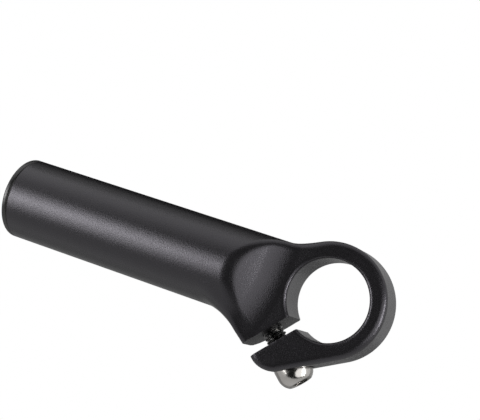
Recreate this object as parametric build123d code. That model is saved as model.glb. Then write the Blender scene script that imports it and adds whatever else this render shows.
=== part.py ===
from build123d import *
from math import asin, atan2, cos, degrees, radians, sin, sqrt, tan
import os

# Bicycle bar end: a forged handle tube with a split clamp ring, its clamp screw and an end plug.
# Millimetres. The origin is the bore's centre and the bore runs along Y. The outer face looks
# to -Y, the tube runs towards -X and +Z is up.

# Clamp ring
bar_diameter = 22.2          # handlebar end that the clamp grips
ring_wall = 4.6
clamp_width = 14.2           # along the bore
bore_chamfer = 0.65
outer_edge_round = 1.2       # edge of the outer face
inner_edge_round = 0.9       # edge of the inner face

# Slot and lugs, measured in the slot's frame: reach runs along the slot and drop across it
slot_angle = 131.5           # from +X down to the lugs
slot_drop = 0.35             # the slot's middle, below the bore's centre
slot_width = 3.95
ear_reach = 25.0             # end of the lower lug
ear_slope = 19.5             # the lower lug's underside against the slot
ear_round = 6.0
lug_reach = 25.3             # end of the upper lug
lug_slope = 5.0              # the upper lug's end against the screw
lug_height = 21.0            # from the slot to the upper lug's buried end
lug_inner_round = 3.4        # edge of the inner face along the upper lug

# Tube
tube_diameter = 22.8
tube_wall = 2.6
tube_offset = 7.5            # the tube's axis passes this far outside the bore's centre
tube_lean = 10.5             # towards the inner side
tube_end = 98.0              # open end, along the tube's axis
tube_end_chamfer = 0.35
tube_root = 12.0             # the tube's buried end
hollow_end = 38.0            # where the hollow stops, along the tube's axis
drill_angle = 118.0          # of the hollow's pointed bottom

# Neck between the tube's top and the ring
neck_round = 10.0            # its hollow curve
neck_inset = 0.1             # inside the tube's top and the outer face
neck_inner = 1.0             # its inner end, along Y
neck_inner_round = 5.0       # its edge on the inner side

# Ramp from the tube down to the outer face
ramp_turn = 17.0             # above -X
ramp_foot = 15.9             # from the bore's centre
ramp_slope = 40.0
ramp_foot_round = 12.0
ramp_edge_round = 1.5

# Clamp screw
screw_reach = 17.9           # of the screw's axis
thread_diameter = 6.0
screw_length = 20.0          # under the head
screw_tip_chamfer = 0.8
head_diameter = 9.9
head_height = 5.8
head_round = 3.9
head_round_height = 3.2
socket_width = 5.0           # across flats
socket_depth = 3.2
seat_drop = 8.35             # of the head's seat
seat_clearance = 0.4         # around the head
thread_clearance = 0.05
ear_hole_clearance = 0.25
thread_hole_spare = 1.3      # past the screw's tip

# End plug
plug_flange = 1.7
plug_edge_round = 0.5
plug_seat_chamfer = 0.35
plug_depth = 9.0
plug_wall = 1.5
plug_clearance = 0.05

bore_radius = bar_diameter / 2
ring_radius = bore_radius + ring_wall
face = clamp_width / 2
tube_radius = tube_diameter / 2
hollow_radius = tube_radius - tube_wall
thread_radius = thread_diameter / 2
head_radius = head_diameter / 2
margin = 5.0                 # how far a cutting tool stands out of what it cuts
touching = 0.01              # how near a plane counts as on it

from_base = (Align.CENTER, Align.CENTER, Align.MIN)
from_top = (Align.CENTER, Align.CENTER, Align.MAX)

# Z along the tube, away from the clamp
tube_frame = Plane(
    origin=(0, -tube_offset, 0),
    x_dir=(0, 0, 1),
    z_dir=(-cos(radians(tube_lean)), sin(radians(tube_lean)), 0),
)


def slot_point(reach, drop):
    """A place in the side view, as (x, z)."""
    turn = radians(slot_angle)
    x = reach * cos(turn) + drop * sin(turn)
    z = -reach * sin(turn) + drop * cos(turn)
    return x, z


def slot_frame(reach, drop):
    """X along the bore, and Z across the slot towards the lower lug."""
    x, z = slot_point(reach, drop)
    across_x, across_z = slot_point(0, 1)
    return Plane(origin=(x, 0, z), x_dir=(0, 1, 0), z_dir=(across_x, 0, across_z))


def ear_lines():
    """The lower lug's underside, tangent to the ring, and its rounded end."""
    slope = radians(ear_slope)
    touch = slot_point(ring_radius * sin(slope), ring_radius * cos(slope))
    corner_drop = (ring_radius - ear_reach * sin(slope)) / cos(slope)
    corner = slot_point(ear_reach, corner_drop)
    tip = slot_point(ear_reach, slot_drop)
    return FilletPolyline(touch, corner, tip, radius=ear_round), touch, tip


def clamp_outline():
    """Side view of the ring and its two lugs, with the upper lug's back inside the tube."""
    ear, ear_touch, ear_tip = ear_lines()
    tip = slot_point(lug_reach, slot_drop)
    top = slot_point(lug_reach + lug_height * tan(radians(lug_slope)), slot_drop - lug_height)
    back = (-ring_radius, 0)
    ring = ThreePointArc(back, (ring_radius, 0), ear_touch)
    lug = Polyline(ear_tip, tip, top, back)
    return Plane.XZ * make_face([*ring.edges(), *ear.edges(), *lug.edges()])


def slot_tool():
    length = max(ear_reach, lug_reach) + margin
    return slot_frame(length / 2, slot_drop) * Box(clamp_width + 2 * margin, length, slot_width)


def slot_place(edge):
    """The reach and drop of an edge's middle."""
    middle = edge @ 0.5
    reach_x, reach_z = slot_point(1, 0)
    drop_x, drop_z = slot_point(0, 1)
    return middle.X * reach_x + middle.Z * reach_z, middle.X * drop_x + middle.Z * drop_z


def is_on_jaw(edge):
    _, drop = slot_place(edge)
    on_plane = abs(abs(drop - slot_drop) - slot_width / 2) < touching
    return on_plane and edge.geom_type == GeomType.LINE


def is_along_lug(edge):
    """Whether an edge belongs to the upper lug's end."""
    reach, drop = slot_place(edge)
    return reach > lug_reach - margin and drop < slot_drop - margin


def rim(shape, side):
    """The edges of the outer face (0) or the inner one (-1), without the jaws."""
    edges = shape.faces().sort_by(Axis.Y)[side].edges()
    return edges.filter_by(lambda edge: not is_on_jaw(edge))


def clamp_plate():
    """The flat forging around the bore, with its slot and its rounded rim."""
    plate = extrude(clamp_outline(), amount=face, both=True) - slot_tool()
    plate = fillet(rim(plate, 0), outer_edge_round)
    plate = fillet(rim(plate, -1).filter_by(is_along_lug), lug_inner_round)
    return fillet(rim(plate, -1).filter_by(GeomType.CIRCLE), inner_edge_round)


def neck():
    """The hollow curve that takes the tube's top up to the ring."""
    level = tube_radius - neck_inset
    centre_z = level + neck_round
    centre_x = -sqrt((ring_radius + neck_round) ** 2 - centre_z**2)
    share = ring_radius / (ring_radius + neck_round)
    touch = (centre_x * share, centre_z * share)
    sweep = degrees(atan2(-centre_x, centre_z))
    arc = JernArc((centre_x, level), (1, 0), neck_round, sweep)
    sides = Polyline(touch, (touch[0], level / 2), (centre_x, level / 2), (centre_x, level))
    start = Plane.XZ.offset(-neck_inner)
    profile = start * make_face([*arc.edges(), *sides.edges()])
    block = extrude(profile, amount=face - neck_inset + neck_inner)
    outer = block.faces().sort_by(Axis.Y)[0].edges().filter_by(GeomType.CIRCLE)
    block = fillet(outer, outer_edge_round)
    inner = block.faces().sort_by(Axis.Y)[-1].edges().filter_by(GeomType.CIRCLE)
    return fillet(inner, neck_inner_round)


def ramp_tool():
    """All that lies outside the outer face and outside the ramp that rises from it to the tube."""
    turn = radians(ramp_turn)
    frame = Plane(
        origin=(0, 0, 0),
        x_dir=(-cos(turn), 0, sin(turn)),
        z_dir=(-sin(turn), 0, -cos(turn)),
    )
    far = ramp_foot + 2 * tube_diameter
    far_y = -face - (far - ramp_foot) * tan(radians(ramp_slope))
    surface = FilletPolyline((-margin, -face), (ramp_foot, -face), (far, far_y), radius=ramp_foot_round)
    back = Polyline((far, far_y), (-margin, far_y), (-margin, -face))
    profile = frame * make_face([*surface.edges(), *back.edges()])
    return extrude(profile, amount=tube_diameter, both=True)


def is_ramp_edge(edge):
    """Whether an edge is where the ramp meets the tube's side."""
    middle = edge @ 0.5
    is_near = middle.X > -tube_end / 2 and middle.Y < touching - face
    return is_near and edge.geom_type != GeomType.LINE


def tube():
    """The solid handle, ramped at the clamp and chamfered at its open end."""
    length = tube_end - tube_root
    rod = tube_frame * Pos(Z=tube_root) * Cylinder(tube_radius, length, align=from_base)
    along = Axis(tube_frame.origin, tube_frame.z_dir)
    rod = chamfer(rod.edges().filter_by(GeomType.CIRCLE).sort_by(along)[-1], tube_end_chamfer)
    rod -= ramp_tool()
    return fillet(rod.edges().filter_by(is_ramp_edge), ramp_edge_round)


def hollow_tool():
    """The tube's hollow, with the point that the drill leaves."""
    point = hollow_radius / tan(radians(drill_angle / 2))
    length = tube_end - hollow_end + margin
    bore = Pos(Z=hollow_end) * Cylinder(hollow_radius, length, align=from_base)
    tip = Pos(Z=hollow_end) * Cone(0, hollow_radius, point, align=from_top)
    return tube_frame * (bore + tip)


def bar_tool():
    """The handlebar's space, with a chamfer at each face."""
    wide = bore_radius + bore_chamfer
    past = face + margin
    shape = Polyline(
        (0, -past), (wide, -past), (wide, -face), (bore_radius, bore_chamfer - face),
        (bore_radius, face - bore_chamfer), (wide, face), (wide, past), (0, past), (0, -past),
    )
    return revolve(make_face(shape), Axis.Y)


def screw_tool():
    """The head's seat, the lower lug's clear hole and the upper lug's threaded hole."""
    seat = Cylinder(head_radius + seat_clearance, head_height + margin, align=from_base)
    clear = Cylinder(thread_radius + ear_hole_clearance, seat_drop - slot_drop, align=from_top)
    threaded = Cylinder(
        thread_radius + thread_clearance, screw_length + thread_hole_spare, align=from_top
    )
    return slot_frame(screw_reach, seat_drop) * (seat + clear + threaded)


def bar_end_body():
    solid = clamp_plate() + tube() + neck()
    return solid - slot_tool() - bar_tool() - hollow_tool() - screw_tool()


def clamp_screw():
    """A domed socket head on a plain shank of the thread's outer diameter."""
    shoulder = head_height - head_round_height
    sweep = degrees(asin(head_round_height / head_round))
    flat_radius = head_radius - head_round + sqrt(head_round**2 - head_round_height**2)
    dome = JernArc((head_radius, shoulder), (0, 1), head_round, sweep)
    side = Polyline((0, head_height), (0, 0), (head_radius, 0), (head_radius, shoulder))
    top = Line((flat_radius, head_height), (0, head_height))
    head = revolve(Plane.XZ * make_face([*side.edges(), *dome.edges(), *top.edges()]), Axis.Z)

    shank = Cylinder(thread_radius, screw_length, align=from_top)
    shank = chamfer(shank.edges().sort_by(Axis.Z)[0], screw_tip_chamfer)
    socket = RegularPolygon(socket_width / 2, 6, major_radius=False)
    socket = Pos(Z=head_height) * extrude(socket, amount=-socket_depth)
    return slot_frame(screw_reach, seat_drop) * (head + shank - socket)


def end_plug():
    """A flanged cap whose hollow spigot is pushed into the tube."""
    flange = Cylinder(tube_radius, plug_flange, align=from_base)
    flange = fillet(flange.edges().sort_by(Axis.Z)[-1], plug_edge_round)
    flange = chamfer(flange.edges().filter_by(GeomType.CIRCLE).sort_by(Axis.Z)[0], plug_seat_chamfer)
    spigot_radius = hollow_radius - plug_clearance
    spigot = Cylinder(spigot_radius, plug_depth, align=from_top)
    spigot -= Cylinder(spigot_radius - plug_wall, plug_depth, align=from_top)
    return tube_frame * Pos(Z=tube_end) * (flange + spigot)


parts = {
    "bar_end_body": bar_end_body(),
    "clamp_screw": clamp_screw(),
    "end_plug": end_plug(),
}
os.makedirs("parts", exist_ok=True)
for name, shape in parts.items():
    export_step(shape, f"parts/{name}.step")
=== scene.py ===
from math import cos, pi, radians, sin

import bpy
import numpy as np
from mathutils import Matrix, Vector


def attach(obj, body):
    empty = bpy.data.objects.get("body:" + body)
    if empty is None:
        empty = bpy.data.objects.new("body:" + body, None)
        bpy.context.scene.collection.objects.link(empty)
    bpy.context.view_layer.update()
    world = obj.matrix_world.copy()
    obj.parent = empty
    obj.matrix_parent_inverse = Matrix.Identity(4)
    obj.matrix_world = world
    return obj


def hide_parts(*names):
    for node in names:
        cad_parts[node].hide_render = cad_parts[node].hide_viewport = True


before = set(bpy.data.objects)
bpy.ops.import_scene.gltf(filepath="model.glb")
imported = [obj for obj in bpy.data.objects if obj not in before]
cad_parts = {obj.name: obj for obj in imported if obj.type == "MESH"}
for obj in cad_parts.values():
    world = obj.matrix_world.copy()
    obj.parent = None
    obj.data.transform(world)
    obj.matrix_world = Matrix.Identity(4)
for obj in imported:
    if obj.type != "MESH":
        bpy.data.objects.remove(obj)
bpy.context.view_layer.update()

MM = 0.001

# Sizes in millimetres and degrees. Most are the solids' own; the ramp, some edges and the lugs'
# ends are finer here
BAR_R, RING_R, FACE = 11.1, 15.7, 7.1
BORE_ROUND = 1.0
OUTER_ROUND, INNER_ROUND, LUG_INNER_ROUND = 2.0, 0.9, 5.4
SLOT_ANGLE, SLOT_DROP, SLOT_HALF = 131.5, 0.35, 1.975
EAR_REACH, EAR_SLOPE, EAR_ROUND = 25.4, 19.5, 4.4
LUG_REACH, LUG_SLOPE, LUG_START, LUG_DROP = 25.5, 1.0, -5.0, 1.0
TUBE_R, HOLLOW_R, TUBE_OFFSET, TUBE_LEAN = 11.4, 8.8, 7.5, 10.5
TUBE_END, TUBE_END_CHAMFER = 98.0, 0.25
HOLLOW_END, DRILL_HALF = 38.0, 59.0
RAMP_TURN, RAMP_FOOT, RAMP_SLOPE = 4.0, 15.9, 39.5
SCREW_REACH, SEAT_DROP, SCREW_LENGTH = 17.9, 8.35, 20.0
SEAT_R, CLEAR_R, THREAD_R, THREAD_END = 5.35, 3.25, 3.05, -12.95

# The upper lug's back is a plane: its normal's x and z
LUG_BACK_X, LUG_BACK_Z = -0.349, 0.937

# The ramp's bow about its middle, its fall to the lower side, its edge, and how far the clamp
# rises with it toward the upper lug
RAMP_BOW, RAMP_MIDDLE, RAMP_FALL = 0.01, 18.5, 0.007
RAMP_EDGE_ROUND, LUG_RISE = 1.6, 1.7

# How far the hollow curves between the forging's parts reach, and its sharpest edges
FOOT_BLEND, WALL_BLEND, FACE_BLEND, FLANK_BLEND = 3.0, 2.8, 0.25, 4.0
EDGE, SHARP = 0.18, 0.05

# From where to where one edge or curve passes into the next
LUG_ALONG, LUG_ACROSS = (18.0, 24.0), (2.0, -2.0)
WALL_NEAR, FLANK_DOWN, FLANK_OUT = (-2.0, 1.5), (-1.0, -6.0), (-1.0, -5.0)
RISE_DOWN, RAMP_OUT = (10.0, -2.0), (0.0, 3.0)

# The grid that the forging's surface is found on, and its planes along the tube and at its end
GRID_STEP, GRID_X, GRID_ACROSS, GRID_UP = 0.385, (16.6, -33.0), (-15.2, 12.6), (-23.4, 16.8)
TUBE_START, TUBE_STOP, TUBE_STEP, TURNING_PLANES = 41.0, 96.8, 2.0, 8
RIM_START, RIM_STOP, RIM_STEP = 96.9, 98.4, 0.13

CA, SA = cos(radians(SLOT_ANGLE)), sin(radians(SLOT_ANGLE))
TX, TY = -cos(radians(TUBE_LEAN)), sin(radians(TUBE_LEAN))

# The camera, as fitted to the photograph: its axes in the frame, and its place in millimetres
CAM_RIGHT = Vector((0.9058, 0.2718, 0.3251))
CAM_UP = Vector((-0.2985, -0.1353, 0.9448))
CAM_BACK = Vector((0.3007, -0.9528, -0.0414))
CAM_PLACE = Vector((105.4, -437.5, -3.5))


def make_camera():
    data = bpy.data.cameras.new("camera")
    data.sensor_width = 36.0
    data.lens = 127.5
    data.clip_start, data.clip_end = 0.01, 20.0
    cam = bpy.data.objects.new("camera", data)
    bpy.context.scene.collection.objects.link(cam)
    turn = Matrix((CAM_RIGHT, CAM_UP, CAM_BACK)).transposed()
    cam.matrix_world = Matrix.Translation(CAM_PLACE * MM) @ turn.to_4x4()
    bpy.context.scene.camera = cam


# Distance field of the forging: negative inside, and about the distance to the surface near it

def cap(a, b, r):
    """Common part of two solids, with its edge rounded to r."""
    over = np.hypot(np.maximum(a + r, 0), np.maximum(b + r, 0))
    return np.minimum(-r, np.maximum(a, b)) + over


def join(a, b, r):
    """Two solids together, with a hollow curve of about r between them."""
    under = np.hypot(np.maximum(r - a, 0), np.maximum(r - b, 0))
    return np.maximum(r, np.minimum(a, b)) - under


def ease(low, high, v):
    """0 where v is at low, 1 where it is at high, and smooth between."""
    t = np.clip((v - low) / (high - low), 0, 1)
    return t * t * (3 - 2 * t)


def clamp_side(x, z, reach, drop):
    """The side view of the ring and its two lugs."""
    slope, lean = radians(EAR_SLOPE), radians(LUG_SLOPE)
    under = drop * cos(slope) + reach * sin(slope) - RING_R
    ear = cap(under, reach - EAR_REACH, EAR_ROUND)
    ear = np.maximum(ear, np.maximum(RING_R * sin(slope) - reach, -drop))
    end = (reach - LUG_REACH) * cos(lean) + (drop - SLOT_DROP) * sin(lean)
    back = LUG_BACK_Z * z + LUG_BACK_X * (x + RING_R)
    lug = np.maximum(np.maximum(end, drop - LUG_DROP), np.maximum(back, LUG_START - reach))
    return np.minimum(np.hypot(x, z) - RING_R, np.minimum(ear, lug))


def outer_side(x, y, z):
    """The clamp's flat outer face, with the ramp that rises from it to the tube's outer side."""
    turn, slope = radians(RAMP_TURN), radians(RAMP_SLOPE)
    out, across = z * sin(turn) - x * cos(turn), z * cos(turn) + x * sin(turn)
    bend = RAMP_BOW * (out - RAMP_MIDDLE) ** 2 + RAMP_FALL * np.minimum(across, 0) ** 2
    rise = (-y - FACE) * cos(slope) - (out - RAMP_FOOT) * sin(slope) + bend
    return join(-y - FACE, rise, FOOT_BLEND)


def forging(p):
    """The whole forging. Reach and drop run along the slot and square to it, along and rho along
    the tube's axis and away from it."""
    x, y, z = p[..., 0], p[..., 1], p[..., 2]
    reach, drop = x * CA - z * SA, x * SA + z * CA
    v = y + TUBE_OFFSET
    along, rho = x * TX + v * TY, np.hypot(v * TX - x * TY, z)

    # The clamp, joined to the tube and cut to its outer side
    side = clamp_side(x, z, reach, drop)
    on_lug = ease(*LUG_ALONG, reach) * ease(*LUG_ACROSS, drop)
    inner = INNER_ROUND + (LUG_INNER_ROUND - INNER_ROUND) * on_lug
    wall = ease(*WALL_NEAR, side - (y - FACE))
    blend = FACE_BLEND + (WALL_BLEND - FACE_BLEND) * wall
    blend += (FLANK_BLEND - WALL_BLEND) * wall * ease(*FLANK_DOWN, z) * ease(*FLANK_OUT, y)
    rise = LUG_RISE * ease(*RISE_DOWN, z)
    plate = cap(cap(side, -y - FACE - rise, OUTER_ROUND), y - FACE, inner)
    solid = join(plate, np.maximum(rho - TUBE_R, -along), blend)
    edge = OUTER_ROUND + (RAMP_EDGE_ROUND - OUTER_ROUND) * ease(*RAMP_OUT, -y - FACE)
    solid = cap(solid, outer_side(x, y, z), edge)

    # The tube's end, the bore, the slot, the tube's drilled hollow and the screw's hole
    cone = (rho + along - TUBE_END - TUBE_R + TUBE_END_CHAMFER) / 2**0.5
    solid = cap(solid, cap(along - TUBE_END, cone, SHARP), SHARP)
    solid = cap(solid, BAR_R - np.hypot(x, z), BORE_ROUND)
    solid = cap(solid, -np.maximum(np.abs(drop - SLOT_DROP) - SLOT_HALF, -reach), EDGE)
    half = radians(DRILL_HALF)
    tip = (along - HOLLOW_END) * sin(half) + HOLLOW_R * cos(half)
    solid = np.maximum(solid, -np.maximum(rho - HOLLOW_R, rho * cos(half) - tip))
    axis = np.hypot(reach - SCREW_REACH, y)
    solid = cap(solid, -np.maximum(axis - SEAT_R, SEAT_DROP - drop), EDGE)
    clear = np.maximum(axis - CLEAR_R, SLOT_DROP - drop)
    middle, half_length = (SLOT_DROP + THREAD_END) / 2, (SLOT_DROP - THREAD_END) / 2
    thread = np.maximum(axis - THREAD_R, np.abs(drop - middle) - half_length)
    return np.maximum(solid, -np.minimum(clear, thread))


# Dual contouring: how often a crossing is sought, how near an edge's end a step may come, and how
# hard a point is held to the mean of its crossings
ROUNDS, NEAR_END, HOLD = 6, 0.05, 0.08


def slopes(field, p, step=1e-3):
    """The field's unit gradient at points p."""
    g = np.empty_like(p)
    for i in range(3):
        ahead, behind = p.copy(), p.copy()
        ahead[..., i] += step
        behind[..., i] -= step
        g[..., i] = field(ahead) - field(behind)
    return g / np.maximum(np.linalg.norm(g, axis=-1, keepdims=True), 1e-12)


def forging_grid(step):
    """Points on planes across the forging, which turn with the tube's lean."""
    planes = [(x, 0.0, 0.0) for x in np.arange(*GRID_X, -step)]
    start = planes[-1][0]
    middle = np.array((TUBE_START * TX, TUBE_START * TY - TUBE_OFFSET))
    for i in range(1, TURNING_PLANES):
        t = i / TURNING_PLANES
        planes.append((start + (middle[0] - start) * t, middle[1] * t, TUBE_LEAN * ease(0, 1, t)))
    for s in (*np.arange(TUBE_START, TUBE_STOP, TUBE_STEP),
              *np.arange(RIM_START, RIM_STOP, RIM_STEP)):
        planes.append((s * TX, s * TY - TUBE_OFFSET, TUBE_LEAN))
    planes = np.array(planes)
    across, up = np.arange(*GRID_ACROSS, step), np.arange(*GRID_UP, step)
    turn = np.radians(planes[:, 2])
    p = np.empty((len(planes), len(across), len(up), 3))
    p[..., 0] = (planes[:, :1] + np.sin(turn)[:, None] * across)[:, :, None]
    p[..., 1] = (planes[:, 1:2] + np.cos(turn)[:, None] * across)[:, :, None]
    p[..., 2] = up
    return p


def cross_edges(field, p, val, axis):
    """Where the field is zero on the grid's edges along one axis."""
    inside = np.moveaxis(val < 0, axis, 0)
    found = np.argwhere(np.moveaxis(inside[:-1] != inside[1:], 0, axis))
    after = found.copy()
    after[:, axis] += 1
    a, b = p[tuple(found.T)], p[tuple(after.T)]
    fa, fb = val[tuple(found.T)], val[tuple(after.T)]
    first = fa < 0
    for _ in range(ROUNDS):
        t = np.clip(fa / (fa - fb), NEAR_END, 1 - NEAR_END)
        q = a + (b - a) * t[:, None]
        fq = field(q)
        same = (fq < 0) == first
        a, fa = np.where(same[:, None], q, a), np.where(same, fq, fa)
        b, fb = np.where(same[:, None], b, q), np.where(same, fb, fq)
    q = a + (b - a) * (fa / (fa - fb))[:, None]
    return found, first, q, slopes(field, q)


def cells_beside(found, axis, backs):
    """The cells round the grid's edges along one axis, one index array for each pair in backs."""
    one, two = (axis + 1) % 3, (axis + 2) % 3
    for back_one, back_two in backs:
        cell = found.copy()
        cell[:, one] -= back_one
        cell[:, two] -= back_two
        yield tuple(cell.T)


def contour(field, p, reach):
    """Vertices and four-sided faces of the field's zero surface, by dual contouring."""
    val = field(p)
    cells = tuple(n - 1 for n in val.shape)
    place, count = np.zeros((*cells, 3)), np.zeros(cells)
    spread, pull = np.zeros((*cells, 3, 3)), np.zeros((*cells, 3))
    found_by_axis = []
    for axis in range(3):
        found, first, q, n = cross_edges(field, p, val, axis)
        found_by_axis.append((found, first))
        for k in cells_beside(found, axis, ((0, 0), (0, 1), (1, 0), (1, 1))):
            np.add.at(place, k, q)
            np.add.at(count, k, 1)
            np.add.at(spread, k, n[:, :, None] * n[:, None, :])
            np.add.at(pull, k, n * np.sum(n * q, axis=1, keepdims=True))
    k = np.nonzero(count)
    mean = place[k] / count[k][:, None]
    rest = pull[k] - np.einsum("nij,nj->ni", spread[k], mean)
    shift = np.linalg.solve(spread[k] + HOLD * np.eye(3), rest[..., None])[..., 0]
    far = np.linalg.norm(shift, axis=1, keepdims=True)
    points = mean + shift * np.minimum(1, reach / np.maximum(far, 1e-9))
    number = np.full(cells, -1)
    number[k] = np.arange(len(points))
    faces = []
    for axis, (found, first) in enumerate(found_by_axis):
        round_edge = cells_beside(found, axis, ((0, 0), (1, 0), (1, 1), (0, 1)))
        quad = np.stack([number[cell] for cell in round_edge], axis=1)
        quad[first] = quad[first][:, ::-1]
        faces.append(quad)
    return points, np.concatenate(faces)


def mesh_object(name, points, faces, materials, smooth_to, indices=None):
    """An object from points in millimetres, smooth over edges of up to smooth_to degrees."""
    mesh = bpy.data.meshes.new(name)
    mesh.from_pydata((np.asarray(points) * MM).tolist(), [], [list(map(int, f)) for f in faces])
    for material in materials:
        mesh.materials.append(material)
    if indices is not None:
        mesh.polygons.foreach_set("material_index", indices)
    mesh.update()
    mesh.validate()
    mesh.shade_smooth()
    mesh.set_sharp_from_angle(angle=radians(smooth_to))
    obj = bpy.data.objects.new(name, mesh)
    bpy.context.scene.collection.objects.link(obj)
    return obj


# Materials

class Nodes:
    """A material's node tree, with short calls to add and join nodes."""

    def __init__(self, name):
        self.material = bpy.data.materials.new(name)
        self.material.use_nodes = True
        self.tree = self.material.node_tree
        self.tree.nodes.clear()
        self.out = self.tree.nodes.new("ShaderNodeOutputMaterial")

    def put(self, value, socket):
        if isinstance(value, bpy.types.NodeSocket):
            self.tree.links.new(value, socket)
        else:
            socket.default_value = value

    def add(self, kind, inputs=(), **settings):
        node = self.tree.nodes.new("ShaderNode" + kind)
        for key, value in settings.items():
            setattr(node, key, value)
        for key, value in dict(inputs).items():
            self.put(value, node.inputs[key])
        return node

    def place(self):
        return self.add("TexCoord").outputs["Object"]

    def noise(self, scale, detail, roughness=0.5):
        inputs = {"Vector": self.place(), "Scale": scale, "Detail": detail, "Roughness": roughness}
        return self.add("TexNoise", inputs).outputs["Fac"]

    def grains(self, scale):
        return self.add("TexVoronoi", {"Vector": self.place(), "Scale": scale})

    def ramp(self, fac, low, high, low_value, high_value):
        inputs = {"Value": fac, "From Min": low, "From Max": high,
                  "To Min": low_value, "To Max": high_value}
        return self.add("MapRange", inputs).outputs["Result"]

    def mix(self, fac, a, b):
        return self.add("Mix", {0: fac, 6: a, 7: b}, data_type="RGBA").outputs[2]

    def bump(self, height, strength, distance, normal=None):
        inputs = {"Height": height, "Strength": strength, "Distance": distance}
        if normal:
            inputs["Normal"] = normal
        return self.add("Bump", inputs).outputs["Normal"]

    def finish(self, inputs):
        shader = self.add("BsdfPrincipled", inputs)
        self.tree.links.new(shader.outputs["BSDF"], self.out.inputs["Surface"])
        return self.material


def grey(value, tint=(1.0, 1.0, 1.0)):
    return (value * tint[0], value * tint[1], value * tint[2], 1.0)


def anodised_material():
    """Shot-peened aluminium, dyed black: fine dimples that sparkle in the highlights."""
    n = Nodes("anodised_aluminium_look")
    violet = (1.0, 0.96, 1.05)
    dimples = n.grains(scale=3300.0)
    fine = n.noise(scale=5200.0, detail=2.0)
    cloud = n.noise(scale=160.0, detail=4.0, roughness=0.6)
    normal = n.bump(dimples.outputs["Distance"], strength=0.35, distance=0.00006)
    normal = n.bump(fine, strength=0.30, distance=0.00004, normal=normal)
    return n.finish({
        "Base Color": n.mix(cloud, grey(0.007, violet), grey(0.011, violet)),
        "Roughness": n.ramp(dimples.outputs["Color"], 0.0, 1.0, 0.25, 0.33),
        "IOR": 1.45,
        "Specular Tint": grey(1.0, (1.0, 0.96, 1.06)),
        "Normal": normal,
    })


def steel_material():
    """Polished steel with faint scratches."""
    n = Nodes("polished_steel_look")
    scratch = n.noise(scale=2600.0, detail=4.0, roughness=0.7)
    cloud = n.noise(scale=300.0, detail=3.0)
    return n.finish({
        "Base Color": n.mix(cloud, grey(0.30, (1.05, 1.0, 0.94)), grey(0.44, (1.03, 1.0, 0.97))),
        "Metallic": 1.0,
        "Roughness": n.ramp(scratch, 0.3, 0.7, 0.16, 0.24),
        "Normal": n.bump(scratch, strength=0.10, distance=0.00002),
    })


def thread_shade_glints_material():
    """The thread's steel, painted dark as shade, with random patches painted brighter as glints.
    """
    n = Nodes("thread_painted_shade_glints_look")
    glint_patches = n.noise(scale=900.0, detail=3.0, roughness=0.6)
    cloud = n.noise(scale=900.0, detail=4.0, roughness=0.6)
    painted_glints = n.ramp(glint_patches, 0.52, 0.66, 0.0, 1.0)
    return n.finish({
        # The dark base colour is painted shade, and the brighter patches are painted glints
        "Base Color": n.mix(painted_glints, grey(0.10), grey(0.45, (1.02, 1.0, 0.96))),
        "Metallic": 1.0,
        "Roughness": n.ramp(cloud, 0.3, 0.7, 0.18, 0.30),
        "Normal": n.bump(cloud, strength=0.15, distance=0.00003),
    })


def plastic_material():
    """Moulded satin plastic."""
    n = Nodes("moulded_plastic_look")
    grain = n.noise(scale=3800.0, detail=3.0, roughness=0.6)
    cloud = n.noise(scale=220.0, detail=3.0)
    return n.finish({
        "Base Color": n.mix(cloud, grey(0.010), grey(0.017)),
        "Roughness": n.ramp(grain, 0.3, 0.7, 0.20, 0.28),
        "IOR": 1.46,
        "Normal": n.bump(grain, strength=0.30, distance=0.00005),
    })


# Turned pieces

def turned(rings, frame_axes, origin, count):
    """Points and faces of a closed shape from rings of (radius, height), each a number or one
    value for each of count angles."""
    angle = np.arange(count) * 2 * pi / count
    right, ahead, up = (np.array(a) for a in frame_axes)
    points, faces = [], []
    for radius, height in rings:
        r = np.broadcast_to(np.asarray(radius, float), count)
        h = np.broadcast_to(np.asarray(height, float), count)
        points.append(origin + np.outer(r * np.cos(angle), right)
                      + np.outer(r * np.sin(angle), ahead) + np.outer(h, up))
    for i in range(len(rings) - 1):
        for j in range(count):
            k = (j + 1) % count
            faces.append((i * count + j, i * count + k, (i + 1) * count + k, (i + 1) * count + j))
    points = np.concatenate(points)
    last = (len(rings) - 1) * count
    low = points[:count].mean(axis=0)
    high = points[last:].mean(axis=0)
    points = np.vstack([points, low, high])
    for j in range(count):
        k = (j + 1) % count
        faces.append((k, j, len(points) - 2))
        faces.append((last + j, last + k, len(points) - 1))
    return points, faces


def arc_rings(radius, middle, start, end, steps):
    """Rings on a round edge whose section has its middle at (radius, height)."""
    return [(middle[0] + radius * cos(radians(a)), middle[1] + radius * sin(radians(a)))
            for a in np.linspace(start, end, steps)]


# Clamp screw, in millimetres from its head's underside

HEAD_R, HEAD_HEIGHT, HEAD_ROUND, DOME_HEIGHT = 4.95, 5.8, 3.9, 3.2
FOOT_ROUND, DOME_SWEEP, MOUTH_ROUND = 0.3, 52, 0.25
SOCKET_HALF, SOCKET_DEPTH = 2.5, 3.2
PITCH, CREST_R, ROOT_R, RINGS_A_TURN = 1.0, 2.96, 2.42, 12
THREAD_TOP, TIP_R, TIP_TAPER = -1.0, 2.15, 0.9
SCREW_SEGMENTS, SMOOTH_TURNED = 96, 32.0


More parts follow.
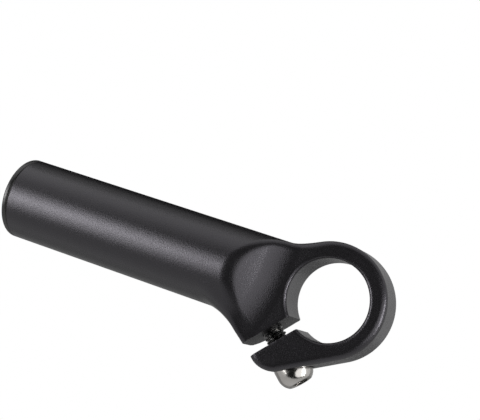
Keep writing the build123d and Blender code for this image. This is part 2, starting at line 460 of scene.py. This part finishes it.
def screw_rings():
    """Rings from the tip up to the socket's floor, and the number of the thread's last one."""
    angle = np.arange(SCREW_SEGMENTS) * 2 * pi / SCREW_SEGMENTS
    rings = [(0.4, -SCREW_LENGTH), (1.6, -SCREW_LENGTH)]
    for h in np.arange(-SCREW_LENGTH + 0.12, THREAD_TOP, PITCH / RINGS_A_TURN):
        phase = np.mod(h / PITCH - angle / (2 * pi), 1.0)
        tooth = np.clip(1.25 - 2.5 * np.abs(phase - 0.5), 0.0, 1.0)
        full = ROOT_R + (CREST_R - ROOT_R) * tooth
        taper = min(1.0, (h + SCREW_LENGTH) / TIP_TAPER)
        rings.append((np.minimum(full, TIP_R + (CREST_R - TIP_R) * taper), h))
    # The plain shank, and the head's foot, side and dome
    rings += [(2.72, -0.9), (2.95, -0.75), (2.95, -0.12), (3.05, -0.03)]
    thread = len(rings) - 1
    rings += [(3.2, 0.0), (HEAD_R - FOOT_ROUND, 0.0)]
    rings += arc_rings(FOOT_ROUND, (HEAD_R - FOOT_ROUND, FOOT_ROUND), -70, 0, 5)
    dome_foot = (HEAD_R - HEAD_ROUND, HEAD_HEIGHT - DOME_HEIGHT)
    rings += arc_rings(HEAD_ROUND, dome_foot, 0, DOME_SWEEP, 16)
    dome_end = HEAD_R - HEAD_ROUND + (HEAD_ROUND**2 - DOME_HEIGHT**2) ** 0.5
    mouth = (dome_end - 0.12, HEAD_HEIGHT - MOUTH_ROUND)
    rings += arc_rings(MOUTH_ROUND, mouth, 58, 88, 4)
    # The hexagon socket, with its broken edge and the drill's cone in its floor
    side = SOCKET_HALF / np.cos(np.mod(angle, pi / 3) - pi / 6)
    floor = HEAD_HEIGHT - SOCKET_DEPTH
    rings += [(side + 0.12, HEAD_HEIGHT), (side + 0.03, HEAD_HEIGHT - 0.04),
              (side, HEAD_HEIGHT - 0.14), (side, floor + 0.1), (side - 0.1, floor),
              (1.6, floor - 0.1), (0.5, floor - 0.5)]
    return rings, thread


def make_screw():
    rings, thread = screw_rings()
    along = np.array((SA, 0.0, CA))
    outward = np.array((CA, 0.0, -SA))
    side = np.cross(along, outward)
    origin = outward * SCREW_REACH + along * SEAT_DROP
    points, faces = turned(rings, (outward, side, along), origin, SCREW_SEGMENTS)
    above, tip = (thread + 1) * SCREW_SEGMENTS, len(points) - 2
    indices = [1 if max(f) < above or f[2] == tip else 0 for f in faces]
    materials = (steel_material(), thread_shade_glints_material())
    obj = mesh_object("threaded_screw", points, faces, materials, SMOOTH_TURNED, indices)
    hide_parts("clamp_screw")
    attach(obj, "screw")


# End plug, in millimetres from the tube's end

FLANGE, FLANGE_EDGE, GROOVE, DISH = 1.7, 0.5, 0.16, 0.30
SPIGOT_R, SPIGOT_WALL, SPIGOT_DEPTH, SPIGOT_FLOOR = HOLLOW_R - 0.05, 1.5, 9.0, -0.6
PLUG_SEGMENTS = 128


def plug_rings():
    """Rings from the spigot's floor out round its open end, and up over the flange."""
    inside = SPIGOT_R - SPIGOT_WALL
    rings = [(0.3, SPIGOT_FLOOR), (inside - 0.2, SPIGOT_FLOOR), (inside, SPIGOT_FLOOR - 0.2),
             (inside, -SPIGOT_DEPTH + 0.1), (inside + 0.1, -SPIGOT_DEPTH),
             (SPIGOT_R - 0.3, -SPIGOT_DEPTH), (SPIGOT_R, -SPIGOT_DEPTH + 0.5),
             (SPIGOT_R, -0.02), (SPIGOT_R + 0.05, 0.0)]
    rings += [(TUBE_R - GROOVE - 0.02, 0.0), (TUBE_R - GROOVE + 0.02, 0.03),
              (TUBE_R - 0.05, GROOVE - 0.05), (TUBE_R, GROOVE + 0.03)]
    rings += arc_rings(FLANGE_EDGE, (TUBE_R - FLANGE_EDGE, FLANGE - FLANGE_EDGE), 0, 90, 9)
    rings += [(TUBE_R - 1.6, FLANGE), (TUBE_R - 2.0, FLANGE - 0.04), (TUBE_R - 2.3, FLANGE - 0.22),
              (TUBE_R - 2.7, FLANGE - DISH), (4.0, FLANGE - DISH), (0.6, FLANGE - DISH)]
    return rings


def make_plug():
    along = np.array((TX, TY, 0.0))
    up = np.array((0.0, 0.0, 1.0))
    side = np.cross(along, up)
    origin = along * TUBE_END - np.array((0.0, TUBE_OFFSET, 0.0))
    points, faces = turned(plug_rings(), (up, side, along), origin, PLUG_SEGMENTS)
    obj = mesh_object("plug_with_flange", points, faces, (plastic_material(),), SMOOTH_TURNED)
    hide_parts("end_plug")
    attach(obj, "bar_end")


def make_forging():
    points, faces = contour(forging, forging_grid(GRID_STEP), GRID_STEP / 2)
    obj = mesh_object("forged_body", points, faces, (anodised_material(),), 40.0)
    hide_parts("bar_end_body")
    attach(obj, "bar_end")


# Studio. Directions are in the camera's axes: right, up, back. Lengths are in metres

OBJECT_MIDDLE = Vector((-0.030, -0.004, -0.003))
FLOOR_HALF, FLOOR_LEVEL = 6.0, -0.95


def seen_share(tree, least, most):
    """A value that is most for camera, glossy and transmission rays, and least for the rest."""
    path = tree.nodes.new("ShaderNodeLightPath")
    value = path.outputs["Is Camera Ray"]
    for kind in ("Is Glossy Ray", "Is Transmission Ray"):
        either = tree.nodes.new("ShaderNodeMath")
        either.operation = "MAXIMUM"
        tree.links.new(value, either.inputs[0])
        tree.links.new(path.outputs[kind], either.inputs[1])
        value = either.outputs[0]
    share = tree.nodes.new("ShaderNodeMapRange")
    share.inputs["To Min"].default_value = least
    share.inputs["To Max"].default_value = most
    tree.links.new(value, share.inputs["Value"])
    return share.outputs["Result"]


def stage_plane(name, material, corners):
    mesh = bpy.data.meshes.new(name)
    mesh.from_pydata(corners, [], [(0, 1, 2, 3)])
    mesh.materials.append(material)
    plane = bpy.data.objects.new(name, mesh)
    bpy.context.scene.collection.objects.link(plane)
    return plane


def make_floor():
    n = Nodes("pale_floor")
    mottle = n.noise(scale=14.0, detail=3.0)
    paint = n.add("BsdfDiffuse", {"Color": n.mix(mottle, grey(0.90), grey(0.93))})
    white = n.add("Emission", {"Color": grey(1.0), "Strength": 1.0})
    share = seen_share(n.tree, least=0.0, most=0.7)
    mixed = n.add("MixShader", {0: share, 1: paint.outputs[0], 2: white.outputs[0]})
    n.tree.links.new(mixed.outputs[0], n.out.inputs["Surface"])
    signs = ((-1, -1), (1, -1), (1, 1), (-1, 1))
    corners = [(i * FLOOR_HALF, j * FLOOR_HALF, FLOOR_LEVEL) for i, j in signs]
    stage_plane("floor", n.material, corners)


def make_world():
    world = bpy.data.worlds.new("studio")
    bpy.context.scene.world = world
    world.use_nodes = True
    tree = world.node_tree
    tree.nodes.clear()
    out = tree.nodes.new("ShaderNodeOutputWorld")
    background = tree.nodes.new("ShaderNodeBackground")
    background.inputs["Color"].default_value = grey(1.0)
    strength = seen_share(tree, least=0.25, most=1.0)
    tree.links.new(strength, background.inputs["Strength"])
    tree.links.new(background.outputs["Background"], out.inputs["Surface"])


def facing(toward, away, level=CAM_UP):
    """A place away from the object in the direction toward, and the axes of a plane that faces
    the object from there."""
    way = (CAM_RIGHT * toward[0] + CAM_UP * toward[1] + CAM_BACK * toward[2]).normalized()
    side = level.cross(way).normalized()
    return OBJECT_MIDDLE + way * away, side, way.cross(side), way


def cloth(name, toward, away, width, height, open_share):
    """A black flag, or with an open share a net, between the object and the white surroundings."""
    n = Nodes(name + "_cloth")
    weave = n.noise(scale=60.0, detail=2.0)
    black = n.add("BsdfDiffuse", {"Color": n.mix(weave, grey(0.012), grey(0.018))})
    gaps = n.add("BsdfTransparent")
    mixed = n.add("MixShader", {0: open_share, 1: black.outputs[0], 2: gaps.outputs[0]})
    n.tree.links.new(mixed.outputs[0], n.out.inputs["Surface"])
    middle, side, up, _ = facing(toward, away)
    across, rise = side * (width / 2), up * (height / 2)
    sheet = stage_plane(name, n.material, [
        middle - across - rise, middle + across - rise,
        middle + across + rise, middle - across + rise])
    sheet.visible_camera = False


def soft_box(name, toward, away, width, height, radiance, level=CAM_UP, shape="RECTANGLE"):
    """An area lamp that faces the object. Its power follows from its size and radiance."""
    middle, side, up, way = facing(toward, away, level)
    data = bpy.data.lights.new(name, "AREA")
    data.shape = shape
    data.size, data.size_y = width, height
    data.energy = radiance * pi * width * height * (pi / 4 if shape == "ELLIPSE" else 1)
    lamp = bpy.data.objects.new(name, data)
    bpy.context.scene.collection.objects.link(lamp)
    turn = Matrix((side, up, way)).transposed()
    lamp.matrix_world = Matrix.Translation(middle) @ turn.to_4x4()
    lamp.visible_camera = False


def make_lights():
    """Each lamp's direction, distance, width, height and radiance, and each cloth's direction,
    distance, width, height and open share."""
    tall = CAM_RIGHT * 0.305 + CAM_UP * 0.952
    soft_box("left_softbox", (-0.875, 0.225, 0.423), 0.8, 0.30, 0.24, 5.8, tall)
    soft_box("left_diffuser", (-0.875, 0.205, 0.423), 0.82, 0.36, 0.64, 3.8, tall)
    soft_box("front_softbox", (0.554, -0.148, 0.819), 0.6, 0.66, 0.72, 2.1, shape="ELLIPSE")
    soft_box("right_softbox", (0.853, -0.150, 0.500), 0.7, 0.16, 0.50, 16.0)
    soft_box("top_softbox", (-0.168, 0.951, -0.259), 1.0, 1.0, 1.0, 0.38)
    cloth("front_flag", (0.0, 0.0, 1.0), 0.9, 3.2, 3.2, 0.0)
    cloth("top_flag", (-0.02, 0.60, -0.80), 1.2, 0.6, 1.5, 0.0)
    cloth("back_net", (0.05, -0.10, -0.99), 0.6, 2.6, 2.6, 0.5)
    cloth("low_flag", (0.12, -0.43, -0.895), 0.9, 0.50, 0.24, 0.45)


make_camera()
make_forging()
make_screw()
make_plug()
make_floor()
make_world()
make_lights()
bpy.context.scene.view_settings.view_transform = "Standard"
